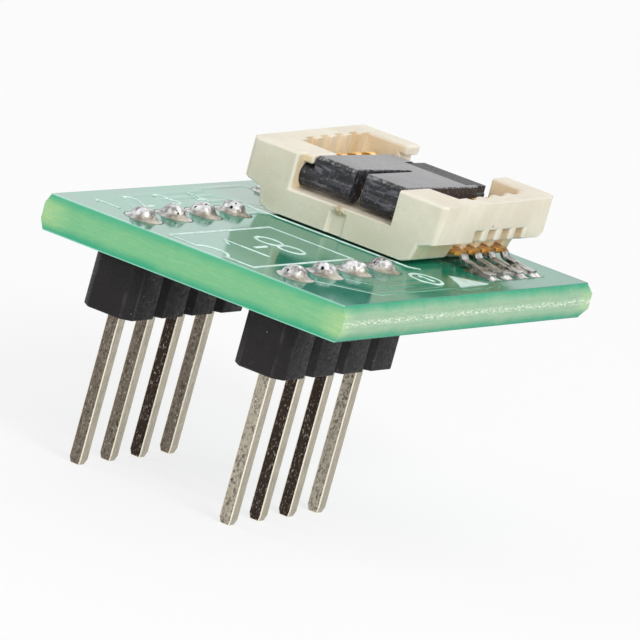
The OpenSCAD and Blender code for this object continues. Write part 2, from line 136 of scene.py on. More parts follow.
def mixed(fac, first, second):
    node = add(fac.id_data, "ShaderNodeMix", data_type="RGBA")
    plug(fac, node.inputs["Factor"])
    plug(first, node.inputs[mixSockets[0]])
    plug(second, node.inputs[mixSockets[1]])
    return node.outputs[mixSockets[2]]


def maths(kind, a, b=None):
    node = add(a.id_data, "ShaderNodeMath", operation=kind)
    plug(a, node.inputs[0])
    if b is not None:
        plug(b, node.inputs[1])
    return node.outputs[0]


def product(a, b):
    return maths("MULTIPLY", a, b)


def dress(shader, colour, rough):
    fill(shader, {"Base Color": colour, "Roughness": rough})


def bumped(shader, height, strength, distance):
    # distance in mm
    node = add(shader.id_data, "ShaderNodeBump")
    fill(node, {"Height": height, "Strength": strength, "Distance": distance * mm})
    plug(node.outputs["Normal"], shader.inputs["Normal"])


# shared effects as node groups: moulded grain with specks, and rubbed scuffs

grainForm = dict(
    scales={"Cloud Scale": 500.0, "Fine Scale": 9000.0, "Speck Scale": 2500.0, "Speck Share": 0.1},
    cloudDetail=4.0,
    fineDetail=2.0,
    speckSpan=(0.38, 0.2),
)

scuffForm = dict(
    scales={"Scale": 3000.0, "Patch Scale": 700.0},
    stretch=(0.35, 1.0, 2.2),
    streakNoise=(5.0, 0.7),  # detail and roughness
    streakSpan=(0.60, 0.70),
    patchDetail=2.0,
    patchSpan=(0.48, 0.66),
)


def makeGroup(name, scales, outputs):
    group = bpy.data.node_groups.new(name, "ShaderNodeTree")
    group.interface.new_socket(name="Vector", in_out="INPUT", socket_type="NodeSocketVector")
    for label, value in scales.items():
        socket = group.interface.new_socket(name=label, in_out="INPUT", socket_type="NodeSocketFloat")
        socket.default_value = value
    for label in outputs:
        group.interface.new_socket(name=label, in_out="OUTPUT", socket_type="NodeSocketFloat")
    return group, group.nodes.new("NodeGroupInput"), group.nodes.new("NodeGroupOutput")


def makeGrainGroup(look):
    group, given, out = makeGroup("mouldedGrain", look["scales"], ("Cloud", "Fine", "Specks"))
    place = given.outputs["Vector"]
    cloud = noiseTex(place, given.outputs["Cloud Scale"], look["cloudDetail"])
    fine = noiseTex(place, given.outputs["Fine Scale"], look["fineDetail"])
    cells = add(group, "ShaderNodeTexVoronoi")
    fill(cells, {"Vector": place, "Scale": given.outputs["Speck Scale"]})
    split = add(group, "ShaderNodeSeparateColor")
    plug(cells.outputs["Color"], split.inputs["Color"])
    chosen = maths("LESS_THAN", split.outputs["Red"], given.outputs["Speck Share"])
    dot = level(cells.outputs["Distance"], *look["speckSpan"])
    fill(out, {"Cloud": cloud, "Fine": fine, "Specks": product(chosen, dot)})
    return group


def makeScuffGroup(look):
    group, given, out = makeGroup("rubbedScuffs", look["scales"], ("Scuffs", "Patches"))
    place = given.outputs["Vector"]
    streaks = stretchedNoise(place, look["stretch"], given.outputs["Scale"], *look["streakNoise"])
    patches = noiseTex(place, given.outputs["Patch Scale"], look["patchDetail"])
    fill(out, {"Scuffs": level(streaks, *look["streakSpan"]), "Patches": level(patches, *look["patchSpan"])})
    return group


def placed(group, source, settings):
    node = add(source.id_data, "ShaderNodeGroup", node_tree=group)
    fill(node, {"Vector": source, **settings})
    return node.outputs


grainGroup = makeGrainGroup(grainForm)
scuffGroup = makeScuffGroup(scuffForm)
print("node groups made")


# camera: the photograph's own view, from the front right, turned clockwise

cameraView = dict(
    place=(152.56, -299.75, 74.44),  # mm
    forward=(-0.443149, 0.874901, -0.195367),
    up=(-0.323567, 0.047136, 0.945030),
    lens=450.0,
    sensor=36.0,
    clip=(0.01, 20.0),  # metres
)


def makeCamera(view):
    data = bpy.data.cameras.new("camera")
    data.lens = view["lens"]
    data.sensor_width = view["sensor"]
    data.sensor_fit = "HORIZONTAL"
    data.clip_start, data.clip_end = view["clip"]
    camera = bpy.data.objects.new("camera", data)
    bpy.context.scene.collection.objects.link(camera)
    back = -Vector(view["forward"]).normalized()
    up = Vector(view["up"]).normalized()
    right = up.cross(back).normalized()
    up = back.cross(right)
    turn = Matrix((right, up, back)).transposed()
    camera.matrix_world = Matrix.Translation(Vector(view["place"]) * mm) @ turn.to_4x4()
    bpy.context.scene.camera = camera


makeCamera(cameraView)
print("camera set")


# floor, world and lamps

studio = dict(
    floorSize=3.0,
    floorColour=paint(250, 250, 250),
    floorPale=paint(253, 253, 253),
    floorCloud=40.0,
    floorRough=0.85,
    floorSheen=0.1,
    floorLift=0.75,  # share of plain white that the camera sees in the floor
    worldLight=0.42,
    aim=(0, 0, 0.008),  # place in metres that the lamps face
    lamps=[
        # name, place in metres, width, watts
        ("keyLamp", (0.38, -0.20, 0.34), 0.30, 1.5),
        ("frontLamp", (0.25, -0.45, 0.12), 0.30, 0.5),
        ("fillLamp", (-0.40, -0.30, 0.30), 0.40, 0.6),
        ("backLamp", (-0.05, 0.45, 0.40), 0.40, 0.7),
        ("mirrorLamp", (-0.284, 0.397, 0.119), 0.16, 0.025),  # seen in the gloss of the board
    ],
)


def seenRays(tree):
    path = add(tree, "ShaderNodeLightPath")
    seen = maths("MAXIMUM", path.outputs["Is Camera Ray"], path.outputs["Is Glossy Ray"])
    return maths("MAXIMUM", seen, path.outputs["Is Transmission Ray"])


def makeFloor(look):
    bm = bmesh.new()
    bmesh.ops.create_grid(bm, x_segments=1, y_segments=1, size=look["floorSize"] / 2)
    mesh = bpy.data.meshes.new("floor")
    bm.to_mesh(mesh)
    bm.free()
    floor = bpy.data.objects.new("floor", mesh)
    bpy.context.scene.collection.objects.link(floor)
    mat, tree, shader = newMaterial("floorWhite")
    cloud = noiseTex(coords(tree), look["floorCloud"])
    dress(shader, mixed(cloud, look["floorColour"], look["floorPale"]), look["floorRough"])
    fill(shader, {"Specular IOR Level": look["floorSheen"]})
    glow = add(tree, "ShaderNodeEmission")
    blend = add(tree, "ShaderNodeMixShader")
    plug(product(seenRays(tree), look["floorLift"]), blend.inputs["Fac"])
    plug(shader.outputs["BSDF"], blend.inputs[1])
    plug(glow.outputs["Emission"], blend.inputs[2])
    plug(blend.outputs["Shader"], tree.nodes["Material Output"].inputs["Surface"])
    mesh.materials.append(mat)


def makeWorld(look):
    world = bpy.data.worlds.new("studioWorld")
    bpy.context.scene.world = world
    world.use_nodes = True
    tree = world.node_tree
    strength = add(tree, "ShaderNodeMapRange")
    fill(strength, {"Value": seenRays(tree), "To Min": look["worldLight"], "To Max": 1.0})
    fill(tree.nodes["Background"], {"Strength": strength.outputs["Result"], "Color": (1, 1, 1, 1)})


def makeLamps(look):
    aim = Vector(look["aim"])
    for name, place, width, watts in look["lamps"]:
        data = bpy.data.lights.new(name, "AREA")
        data.size = width
        data.energy = watts
        lamp = bpy.data.objects.new(name, data)
        lamp.location = place
        lamp.rotation_euler = (aim - Vector(place)).to_track_quat("-Z", "Y").to_euler()
        bpy.context.scene.collection.objects.link(lamp)


makeFloor(studio)
makeWorld(studio)
makeLamps(studio)
bpy.context.scene.view_settings.view_transform = "Standard"
print("studio set")


# mesh helpers

roundOverRoom = dict(
    acrossFace=1.9,  # these three in widths of the round-over
    pastGentle=1.5,
    pastSharp=2.2,
    gentle=20.0,  # degrees between the faces of a gentle edge
    inLine=0.94,  # cosine of an edge that runs on in line
    smaller=0.4,  # share of the width for narrow places
    probes=(0.1, 0.3, 0.5, 0.7, 0.9),  # shares of the edge where a face's depth is taken
)


def nodeCopy(nodeName, merge=0.0005, flat=0.5):
    # merge in mm, flat in degrees
    bm = bmesh.new()
    bm.from_mesh(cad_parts[nodeName].data)
    bmesh.ops.remove_doubles(bm, verts=bm.verts, dist=merge * mm)
    bmesh.ops.dissolve_limit(bm, angle_limit=math.radians(flat), verts=bm.verts, edges=bm.edges)
    return bm


def depthInside(loop):
    # least distance across the face from one of its edges
    start, end = loop.vert.co, loop.link_loop_next.vert.co
    along = (end - start).normalized()
    inward = loop.face.normal.cross(along)
    least = math.inf
    for share in roundOverRoom["probes"]:
        point = start.lerp(end, share)
        for other in loop.face.edges:
            if other == loop.edge:
                continue
            first, second = (vert.co - point for vert in other.verts)
            x0, x1 = first.dot(along), second.dot(along)
            y0, y1 = first.dot(inward), second.dot(inward)
            if x0 * x1 < 0:
                across = y0 - (y1 - y0) * x0 / (x1 - x0)
                least = min(least, across) if across > 0 else least
    return least


def hasRoom(edge, width):
    # no room for a round-over on a narrow face, or where a short edge leaves at an angle
    room = roundOverRoom
    if any(depthInside(loop) < room["acrossFace"] * width for loop in edge.link_loops):
        return False
    along = (edge.verts[1].co - edge.verts[0].co).normalized()
    for vert in edge.verts:
        for other in vert.link_edges:
            away = other.other_vert(vert).co - vert.co
            gentle = len(other.link_faces) == 2 and other.calc_face_angle() < math.radians(room["gentle"])
            past = room["pastGentle"] if gentle else room["pastSharp"]
            if away.length < past * width and abs(away.normalized().dot(along)) < room["inLine"]:
                return False
    return True


def softenEdges(bm, look, keep=None):
    # roundOver holds the width in mm, the segments and the least angle in degrees
    width, segments, sharp = look["roundOver"]
    mark = bm.faces.layers.float.new("edge")
    for reach in (width * mm, roundOverRoom["smaller"] * width * mm):
        edges = []
        for edge in bm.edges:
            if len(edge.link_faces) != 2 or edge.calc_face_angle_signed() < math.radians(sharp):
                continue
            plain = all(face[mark] == 0 for face in edge.link_faces)
            if plain and hasRoom(edge, reach) and (keep is None or keep(edge, look)):
                edges.append(edge)
        made = bmesh.ops.bevel(bm, geom=edges, offset=reach, offset_type="OFFSET", affect="EDGES",
                               segments=segments, profile=0.5, clamp_overlap=False, material=-1)
        for face in made["faces"]:
            face[mark] = 1.0


def shadeByAngle(bm, limit=14.0):
    for face in bm.faces:
        face.smooth = True
    for edge in bm.edges:
        edge.smooth = len(edge.link_faces) == 2 and edge.calc_face_angle() < math.radians(limit)


def softCopy(nodeName, look, keep=None):
    bm = nodeCopy(nodeName)
    softenEdges(bm, look, keep)
    shadeByAngle(bm)
    return bm


def addPiece(bm, name, materials, slotName, *nodes, body="adapter"):
    mesh = bpy.data.meshes.new(name)
    bm.to_mesh(mesh)
    bm.free()
    for mat in materials:
        mesh.materials.append(mat)
    piece = bpy.data.objects.new(name, mesh)
    bpy.context.scene.collection.objects.link(piece)
    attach(piece, body)
    if nodes:
        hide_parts(*nodes)


def repaint(mat, *names):
    for name in names:
        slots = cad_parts[name].data.materials
        slots.clear()
        slots.append(mat)


# board: glass fibre core with a sawn front edge and snapped long edges

boardLook = dict(
    rimColour=paint(38, 164, 122),
    fibreColour=paint(236, 244, 226),
    rimDepth=0.52,  # mm of deeper green under each face
    rimWave=0.35,  # mm
    cornerHighlightShare=0.65,
    lineReach=(0.22, 0.02),  # mm from the middle, where the snapped line fades in
    lineShare=0.8,
    wave=((1, 1, 0.3), 900.0, 4.0),
    threads=((1, 1, 9.0), 1400.0, 5.0, 0.65),
    breaks=((1, 0.5, 2.0), 7500.0, 2.0, 0.6),
    breakSpan=(0.4, 0.66),
    darkSpan=(0.62, 0.45, 0.0, 0.2),
    looseSpan=(0.6, 0.75, 0.0, 0.35),
    roughSpan=(0.3, 0.7, 0.42, 0.7),
    relief=(0.35, 0.03),
    longEdge=15.0,  # mm, least length
    longEdgeX=6.0,  # mm from the middle
    snapCuts=90,
    snapRough=0.07,  # mm
    snapMean=0.5,
    snapNoise=[(0.6, 7, 2300, 900), (0.4, 3, 6100, 2500)],  # weight, seed, waves along and up
    snapEnd=0.5,  # mm left straight at each end
    snapFacing=0.4,
    sawnEdge=dict(
        centre=paint(128, 192, 138),
        upperRim=paint(74, 178, 132),
        cornerHighlightColour=paint(186, 216, 150),
        cornerHighlightRun=("X", 6.0, 7.4),  # mm from the middle of the edge, where the painted corner highlight fades in
        fibres=0.06,
    ),
    snappedEdge=dict(
        centre=paint(164, 193, 161),
        upperRim=paint(38, 164, 122),
        cornerHighlightColour=paint(192, 222, 166),
        cornerHighlightRun=("Y", 9.9, 11.2),
        fibres=1.0,
    ),
)


def edgeMaterial(look, name):
    edge = look[name]
    mat, tree, shader = newMaterial(name)
    place = coords(tree)
    parts = axes(place)
    middle = (boardTop + boardLow) / 2
    half = (boardTop - boardLow) / 2
    away = maths("ABSOLUTE", maths("SUBTRACT", parts["Z"], middle))
    wave = maths("SUBTRACT", stretchedNoise(place, *look["wave"]), 0.5)
    reach = maths("ADD", away, product(wave, look["rimWave"] * mm))
    rim = level(reach, half - look["rimDepth"] * mm, half)
    rimTint = mixed(level(parts["Z"], middle, boardTop), look["rimColour"], edge["upperRim"])
    # painted highlight: the edge is painted paler towards the board's front corners, where the corner
    # catches the light
    runAxis, runFrom, runTo = edge["cornerHighlightRun"]
    along = maths("ABSOLUTE", parts[runAxis])
    cornerHighlight = level(along, runFrom * mm, runTo * mm, 0.0, look["cornerHighlightShare"])
    colour = mixed(rim, mixed(cornerHighlight, edge["centre"], edge["cornerHighlightColour"]), rimTint)
    threads = stretchedNoise(place, *look["threads"])
    colour = mixed(level(threads, *look["darkSpan"]), colour, look["rimColour"])
    lineFrom, lineTo = look["lineReach"]
    line = level(away, lineFrom * mm, lineTo * mm, 0.0, look["lineShare"])
    breaks = stretchedNoise(place, *look["breaks"])
    streak = product(line, level(breaks, *look["breakSpan"]))
    loose = level(threads, *look["looseSpan"])
    bright = product(maths("MAXIMUM", streak, loose), edge["fibres"])
    colour = mixed(bright, colour, look["fibreColour"])
    dress(shader, colour, level(threads, *look["roughSpan"]))
    bumped(shader, maths("ADD", threads, breaks), *look["relief"])
    return mat


def makeBoard(look):
    bm = nodeCopy("board_core")
    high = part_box("board_core")[1]
    long = [e for e in bm.edges if abs(e.verts[0].co.y - e.verts[1].co.y) > look["longEdge"] * mm
            and abs(e.verts[0].co.x) > look["longEdgeX"] * mm]
    bmesh.ops.subdivide_edges(bm, edges=long, cuts=look["snapCuts"], use_grid_fill=True)
    for vert in bm.verts:
        side = math.copysign(1.0, vert.co.x)
        if high.x - abs(vert.co.x) < touch and abs(vert.co.y) < high.y - look["snapEnd"] * mm:
            bite = look["snapMean"]
            for weight, seed, along, up in look["snapNoise"]:
                bite += weight * noise.noise(Vector((side * seed, vert.co.y * along, vert.co.z * up)))
            vert.co.x -= side * look["snapRough"] * mm * max(0.0, bite)
    for face in bm.faces:
        face.material_index = 1 if abs(face.normal.x) > look["snapFacing"] else 0
    skins = [edgeMaterial(look, "sawnEdge"), edgeMaterial(look, "snappedEdge")]
    addPiece(bm, "boardCore", skins, "board_core", "board_core")


makeBoard(boardLook)
print("board made")


# solder mask with copper tracks under it

maskLook = dict(
    colour=paint(18, 146, 116),
    trackColour=paint(24, 152, 122),
    speckColour=paint(110, 190, 165),
    frontHighlightColour=paint(150, 216, 192),
    frontHighlight=(11.02, 11.22),  # mm, where a painted highlight runs along the mask's front edge
    frontHighlightShare=0.75,
    ior=1.6,
    shade=0.82,
    grain={"Cloud Scale": 260.0, "Fine Scale": 5200.0, "Speck Scale": 7000.0, "Speck Share": 0.01},
    cloudSpan=(0.35, 0.65),
    speckShare=0.3,
    roughSpan=(0.3, 0.7, 0.08, 0.16),
    relief=(0.08, 0.03),
    track=(0.42, 0.013),  # mm, width and rise
    cornerCut=0.6,
    pinClear=0.3,  # mm between the pins' insulators and the bend of a track
    heelX=4.75,  # where tracks leave the contact pads under the socket
    # for each contact from the front: lane under the socket, lane beside the pins
    lanes=[(6.75, 6.45), (4.35, 5.85), (3.75, 5.2), (3.1, 3.5)],
)

strokeForm = {"merge": 0.0001, "smoothUpTo": 50.0}  # mm, degrees


def maskMaterial(look, name, colour):
    mat, tree, shader = newMaterial(name, 0.0, look["ior"])
    place = coords(tree)
    grain = placed(grainGroup, place, look["grain"])
    cloud = level(grain["Cloud"], *look["cloudSpan"])
    base = mixed(cloud, dimmed(colour, look["shade"]), colour)
    base = mixed(product(grain["Specks"], look["speckShare"]), base, look["speckColour"])
    # painted highlight: a paler band along the front edge, where the rounded edge catches the light
    frontHighlightFrom, frontHighlightTo = (-y * mm for y in look["frontHighlight"])
    frontHighlight = level(axes(place)["Y"], frontHighlightFrom, frontHighlightTo, 0.0, look["frontHighlightShare"])
    base = mixed(frontHighlight, base, look["frontHighlightColour"])
    dress(shader, base, level(grain["Cloud"], *look["roughSpan"]))
    bumped(shader, grain["Cloud"], *look["relief"])
    return mat


def addStroke(bm, points, stroke, closed=False):
    # a flat ribbon with a rounded back on the board, drawn along points given in mm
    width, rise = stroke
    curve = bpy.data.curves.new("stroke", "CURVE")
    curve.dimensions = "3D"
    curve.twist_mode = "Z_UP"
    curve.bevel_depth = width * mm / 2
    curve.bevel_resolution = 2
    curve.use_fill_caps = True
    line = curve.splines.new("POLY")
    line.points.add(len(points) - 1)
    for point, (x, y) in zip(line.points, points):
        point.co = (x * mm, y * mm, 0, 1)
    line.use_cyclic_u = closed
    holder = bpy.data.objects.new("stroke", curve)
    mesh = bpy.data.meshes.new_from_object(holder)
    mesh.transform(Matrix.Translation((0, 0, boardTop)) @ Matrix.Diagonal((1, 1, 2 * rise / width, 1)))
    bm.from_mesh(mesh)
    bpy.data.objects.remove(holder)
    bpy.data.curves.remove(curve)
    bpy.data.meshes.remove(mesh)


def closeStrokes(bm):
    # end caps come loose from the curves
    bmesh.ops.remove_doubles(bm, verts=bm.verts, dist=strokeForm["merge"] * mm)
    bmesh.ops.recalc_face_normals(bm, faces=bm.faces)
    shadeByAngle(bm, strokeForm["smoothUpTo"])


def padPlace(number):
    low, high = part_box("socket_contact_%d" % number)
    return (low.y + high.y) / 2 / mm


def pinPlace(number):
    low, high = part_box("header_pin_%d" % number)
    return (low.x + high.x) / 2 / mm, (low.y + high.y) / 2 / mm


def makeTracks(look, mat):
    # each contact is wired to the pin of its own number
    bm = bmesh.new()
    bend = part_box("header_insulator_left")[1].y / mm + look["pinClear"]
    for side, numbers in ((-1, (1, 2, 3, 4)), (1, (8, 7, 6, 5))):
        for number, (socketLane, pinLane) in zip(numbers, look["lanes"]):
            padY = padPlace(number)
            pinX, pinY = pinPlace(number)
            first, second = side * socketLane, side * pinLane
            start = side * look["heelX"]
            turn = min(look["cornerCut"], abs(first - start))
            points = [
                (start, padY), (first - math.copysign(turn, first - start), padY), (first, padY - turn),
                (first, bend + abs(first - second)), (second, bend),
                (second, pinY + abs(second - pinX)), (pinX, pinY),
            ]
            addStroke(bm, points, look["track"])
    closeStrokes(bm)
    addPiece(bm, "copperTracks", [mat], "solder_mask")


maskGreen = maskMaterial(maskLook, "maskGreen", maskLook["colour"])
trackGreen = maskMaterial(maskLook, "maskOverCopper", maskLook["trackColour"])
repaint(maskGreen, "solder_mask_top", "solder_mask_bottom")
makeTracks(maskLook, trackGreen)
print("mask and tracks made")


# legend printed on the mask: plain lines and numbers

legendLook = dict(
    colour=paint(222, 246, 238),
    shade=dimmed(paint(222, 246, 238), 0.8),
    cloud=(1500.0, 4.0),
    fine=(9000.0, 2.0),
    cloudSpan=(0.4, 0.6),
    roughSpan=(0.3, 0.7, 0.4, 0.65),
    relief=(0.15, 0.01),
    stroke=(0.17, 0.035),  # mm, width and rise
    chipBox=(-1.77, -10.62, 2.48, -2.02),
    notch=(0.75, 12),  # mm of radius, steps
    socketLine=[(-5.05, 0.5), (3.85, 0.5), (4.25, 0.9)],
    arrow=[(5.24, 1.68), (6.52, 3.03), (6.56, 0.44)],
    firstMark=(5.33, -0.5, 0.72),  # middle and radius of the ring
    markNumber=(0.8, 0.38, -0.2),  # height, and shift from the ring's middle
    pinNumber=(1.25, -1.3, -0.3),  # height, and shift from the pin
    boxHeight=2.3,
    boxRows={"1": 2.2, "-": 3.7},  # mm from the front of the box
    eightRow=5.9,
    eightLoops=[(0.74, 0.26), (0.25, 0.25)],  # middle and radius, in heights
)

digitStrokes = {
    "1": [[(0.12, 0.76), (0.36, 1.0), (0.36, 0.0)]],
    "2": [[(0.0, 0.78), (0.08, 0.93), (0.28, 1.0), (0.5, 0.93), (0.58, 0.76), (0.5, 0.56), (0.0, 0.0),
           (0.6, 0.0)]],
    "3": [[(0.02, 0.86), (0.14, 0.97), (0.32, 1.0), (0.5, 0.93), (0.56, 0.77), (0.48, 0.61), (0.26, 0.54),
           (0.5, 0.46), (0.6, 0.27), (0.5, 0.08), (0.3, 0.0), (0.1, 0.04), (0.0, 0.15)]],
    "4": [[(0.46, 0.0), (0.46, 1.0), (0.0, 0.3), (0.64, 0.3)]],
    "-": [[(0.0, 0.5), (0.45, 0.5)]],
}


def ring(x, y, radius, count=24):
    return [(x + radius * math.cos(k * math.tau / count), y + radius * math.sin(k * math.tau / count))
            for k in range(count)]


def cloudedMaterial(look, name, metallic=0.0):
    mat, tree, shader = newMaterial(name, metallic)
    place = coords(tree)
    fine = noiseTex(place, *look["fine"])
    base = mixed(level(noiseTex(place, *look["cloud"]), *look["cloudSpan"]), look["shade"], look["colour"])
    dress(shader, base, level(fine, *look["roughSpan"]))
    bumped(shader, fine, *look["relief"])
    return mat


def addNumber(bm, stroke, digit, height, x, y):
    # numbers stand with their feet to the right, so they read along the board
    for line in digitStrokes[digit]:
        addStroke(bm, [(x - v * height, y + u * height) for u, v in line], stroke)


def makeLegend(look):
    bm = bmesh.new()
    stroke = look["stroke"]
    x0, y0, x1, y1 = look["chipBox"]
    centre = (x0 + x1) / 2
    notch, steps = look["notch"]
    bearings = [math.pi * (1 - k / steps) for k in range(steps + 1)]
    dip = [(centre + notch * math.cos(a), y0 + notch * math.sin(a)) for a in bearings]
    addStroke(bm, [(x0, y0)] + dip + [(x1, y0), (x1, y1), (x0, y1)], stroke, closed=True)
    addStroke(bm, look["socketLine"], stroke)
    markX, markY, markRadius = look["firstMark"]
    addStroke(bm, ring(markX, markY, markRadius), stroke, closed=True)
    height, shiftX, shiftY = look["markNumber"]
    addNumber(bm, stroke, "1", height, markX + shiftX, markY + shiftY)
    height, shiftX, shiftY = look["pinNumber"]
    for digit in "1234":
        pinX, pinY = pinPlace(int(digit))
        addNumber(bm, stroke, digit, height, pinX + shiftX, pinY + shiftY)
    tall = look["boxHeight"]
    first = centre + tall / 2
    for digit, row in look["boxRows"].items():
        addNumber(bm, stroke, digit, tall, first, y0 + row)
    for middle, radius in look["eightLoops"]:
        loop = ring(first - middle * tall, y0 + look["eightRow"], radius * tall)
        addStroke(bm, loop, stroke, closed=True)
    corners = [bm.verts.new((x * mm, y * mm, boardTop)) for x, y in look["arrow"]]
    made = bmesh.ops.extrude_face_region(bm, geom=[bm.faces.new(corners)])
    lifted = [v for v in made["geom"] if isinstance(v, bmesh.types.BMVert)]
    bmesh.ops.translate(bm, verts=lifted, vec=(0, 0, stroke[1] * mm))
    closeStrokes(bm)
    addPiece(bm, "printedLegend", [cloudedMaterial(look, "legendInk")], "solder_mask")


makeLegend(legendLook)
print("legend made")


# header insulators: moulded black blocks, notched between positions

insulatorLook = dict(
    colour=paint(26, 23, 24),
    # paler colour of the rounded edges: partly wear, partly a painted highlight
    edgeWearAndHighlightColour=paint(58, 56, 57),
    dustColour=paint(150, 146, 140),
    sheen=0.25,
    cloudGain=1.5,
    grain={"Cloud Scale": 700.0, "Fine Scale": 8000.0, "Speck Scale": 9000.0, "Speck Share": 0.012},
    scuffs={"Scale": 2600.0, "Patch Scale": 500.0},
    cloudSpan=(0.35, 0.7),
    roughSpan=(0.3, 0.7, 0.45, 0.7),
    relief=(0.25, 0.015),
    scuffShare=0.4,
    speckShare=0.5,
    roundOver=(0.07, 2, 30.0),
    pinRoom=0.6,  # mm around the pins' middle line
    rimDrop=1.84,  # mm below the board's top
)


def insulatorMaterial(look):
    mat, tree, shader = newMaterial("headerBlack")
    fill(shader, {"Specular IOR Level": look["sheen"]})
    place = coords(tree)
    grain = placed(grainGroup, place, look["grain"])
    scuffs = placed(scuffGroup, place, look["scuffs"])
    cloud = level(grain["Cloud"], *look["cloudSpan"])
    base = mixed(cloud, look["colour"], dimmed(look["colour"], look["cloudGain"]))
    # rounded edges painted paler: partly wear, partly a painted highlight where the edges catch the light
    base = mixed(product(painted(tree, "edge"), cloud), base, look["edgeWearAndHighlightColour"])
    rubbed = product(product(scuffs["Scuffs"], scuffs["Patches"]), look["scuffShare"])
    dusty = maths("MAXIMUM", product(grain["Specks"], look["speckShare"]), rubbed)
    base = mixed(dusty, base, look["dustColour"])
    dress(shader, base, level(grain["Fine"], *look["roughSpan"]))
    bumped(shader, grain["Fine"], *look["relief"])
    return mat


def openToView(edge, look):
    # the pin holes and the rim under the board keep their crisp edges
    pinX = pinPlace(8)[0] * mm
    below = any(vert.co.z < boardTop - look["rimDrop"] * mm for vert in edge.verts)
    return below and any(abs(abs(vert.co.x) - pinX) > look["pinRoom"] * mm for vert in edge.verts)


def makeInsulators(look):
    mat = insulatorMaterial(look)
    for word in ("Left", "Right"):
        node = "header_insulator_%s" % word.lower()
        bm = softCopy(node, look, openToView)
        addPiece(bm, "insulator%s" % word, [mat], "header_plastic", node)


makeInsulators(insulatorLook)
print("insulators made")


# header pins: drawn square wire, smooth on two sides and sheared on the other two

pinLook = dict(
    smoothColour=paint(186, 178, 160),
    # painted highlight for the rounded edges and the glints
    paintedHighlightColour=paint(240, 232, 216),
    stainColour=paint(60, 52, 44),
    # sheared sides: the colour of each kind, whose pale, mid and dark differ as a painted reflection, and
    # the kind of each pin from 1 to 8
    shearReflections={"Pale": paint(186, 178, 162), "Mid": paint(128, 118, 106), "Dark": paint(62, 52, 46)},
    shearReflectionKinds=("Mid", "Mid", "Dark", "Mid", "Pale", "Dark", "Dark", "Pale"),
    smooth={"roughness": 0.3, "relief": (0.1, 0.02), "stain": 0.15},
    sheared={"roughness": 0.46, "relief": (0.5, 0.02), "stain": 0.8},
    drawn=((1, 1, 0.16), 9000.0, 4.0, 0.6),
    pits=((1, 1, 0.7), 9500.0, 4.0, 0.75),
    cloud=((1, 1, 0.5), 1300.0, 3.0),
    glintNoise=((1, 1, 0.5), 15000.0, 3.0, 0.75),
    drawnSpan=(0.35, 0.65),
    drawnDim=0.78,
    pitSpan=(0.48, 0.62),
    cloudSpan=(0.3, 0.6, 0.35, 1.0),
    glintSpan=(0.56, 0.72),
    glintShare=0.75,
    roughSpan=(0.35, 0.7),
    roughSwing=(-0.08, 0.14),
    shearFacing=0.8,
    roundOver=(0.045, 2, 30.0),
)


def pinMaterial(look, name, colour, finish):
    mat, tree, shader = newMaterial(name, 1.0)
    place = coords(tree)
    drawn = stretchedNoise(place, *look["drawn"])
    pits = stretchedNoise(place, *look["pits"])
    cloud = stretchedNoise(place, *look["cloud"])
    glintNoise = stretchedNoise(place, *look["glintNoise"])
    base = mixed(level(drawn, *look["drawnSpan"]), dimmed(colour, look["drawnDim"]), colour)
    spots = product(level(pits, *look["pitSpan"]), level(cloud, *look["cloudSpan"]))
    base = mixed(product(spots, finish["stain"]), base, look["stainColour"])
    # painted highlight: bright glints on the metal and a bright line along the rounded edges, where they
    # catch the light
    paintedGlints = product(level(glintNoise, *look["glintSpan"]), look["glintShare"] * finish["stain"])
    base = mixed(maths("MAXIMUM", paintedGlints, painted(tree, "edge")), base, look["paintedHighlightColour"])
    rough = [finish["roughness"] + swing for swing in look["roughSwing"]]
    dress(shader, base, level(pits, *look["roughSpan"], *rough))
    bumped(shader, maths("ADD", drawn, pits), *finish["relief"])
    return mat


def makePins(look):
    smooth = pinMaterial(look, "pinSmooth", look["smoothColour"], look["smooth"])
    reflectedShear = {}
    for kind, colour in look["shearReflections"].items():
        reflectedShear[kind] = pinMaterial(look, "pinShearedPaintedReflection" + kind, colour, look["sheared"])
    # each pin's sheared faces get the painted reflection of its kind
    for number, kind in enumerate(look["shearReflectionKinds"], 1):
        name = "header_pin_%d" % number
        bm = softCopy(name, look)
        for face in bm.faces:
            face.material_index = 1 if abs(face.normal.y) > look["shearFacing"] else 0
        addPiece(bm, "headerPin%d" % number, [smooth, reflectedShear[kind]], "pin_metal", name)


makePins(pinLook)
print("pins made")


# solder mounds on the pins, each a little different

solderLook = dict(
    bright=paint(212, 212, 214),
    dull=paint(132, 130, 130),
    residue=paint(142, 132, 100),
    pit=paint(34, 26, 22),
    cloud=(2600.0, 4.0, 0.6),
    fine=(11000.0, 3.0, 0.6),
    cloudSpan=(0.4, 0.6),
    film=0.65,  # most cover of the residue
    filmSpan=(0.3, 0.6),
    filmLeast=0.4,  # share of that cover
    filmRough=0.15,
    pitSpan=(0.15, 0.5),
    roughSpan=(0.35, 0.65, 0.24, 0.42),
    fineShare=0.5,
    relief=(0.6, 0.07),
)

